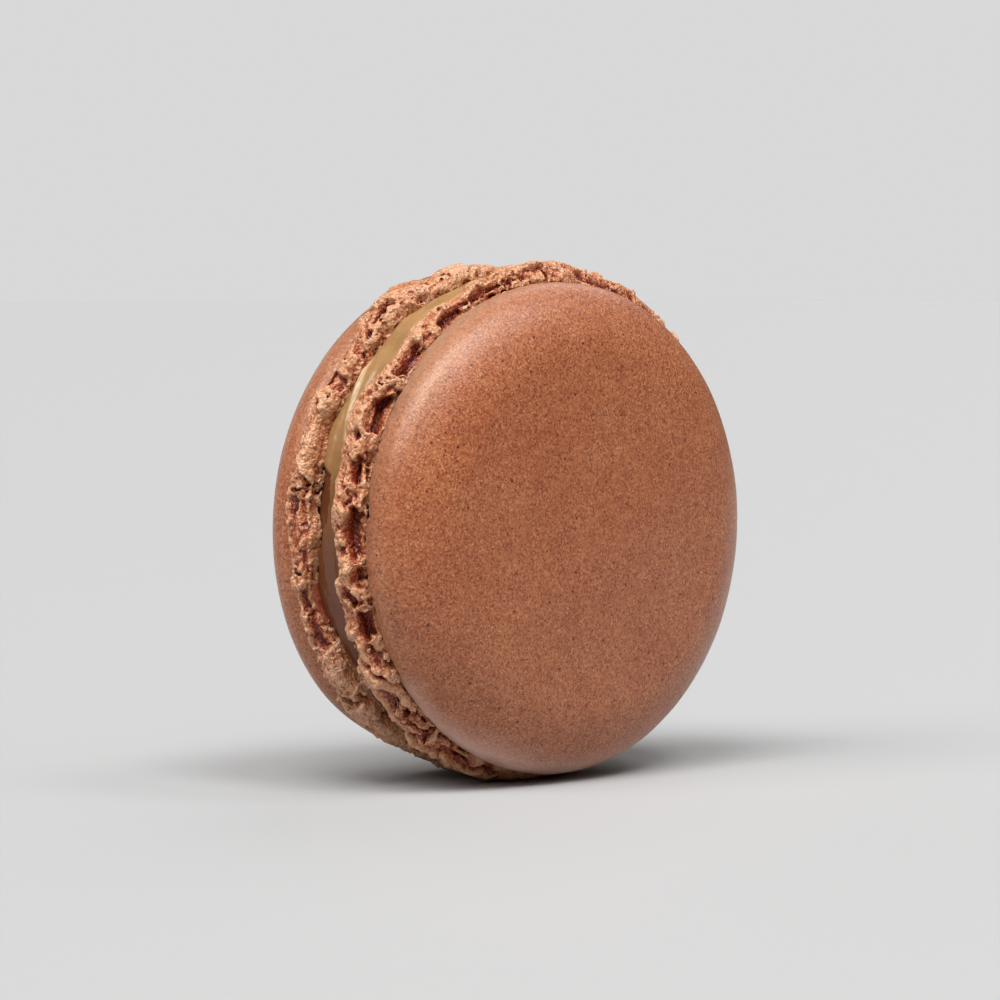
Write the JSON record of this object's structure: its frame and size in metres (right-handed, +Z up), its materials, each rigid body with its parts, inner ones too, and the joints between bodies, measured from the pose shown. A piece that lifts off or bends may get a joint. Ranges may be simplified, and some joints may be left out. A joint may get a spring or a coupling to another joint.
{
  "type": "macaron",
  "caption": "Round macaron standing on its edge, with smooth domed shells, rough ruffled feet and a band of caramel cream between them.",
  "frame": {"origin": "middle of the bottom, on the surface that the macaron stands on", "axes": "+Z up; the axis of its round shells runs along Y, and the front shell faces -Y"},
  "size_m": [0.0488, 0.0228, 0.0474],
  "materials": {
    "shell": "baked almond shell, caramel brown, smooth satin skin and a rough porous foot",
    "filling": "soft caramel cream, satin"
  },
  "bodies": {
    "root": {"front_shell": "shell", "back_shell": "shell", "filling": "filling"}
  },
  "joints": []
}
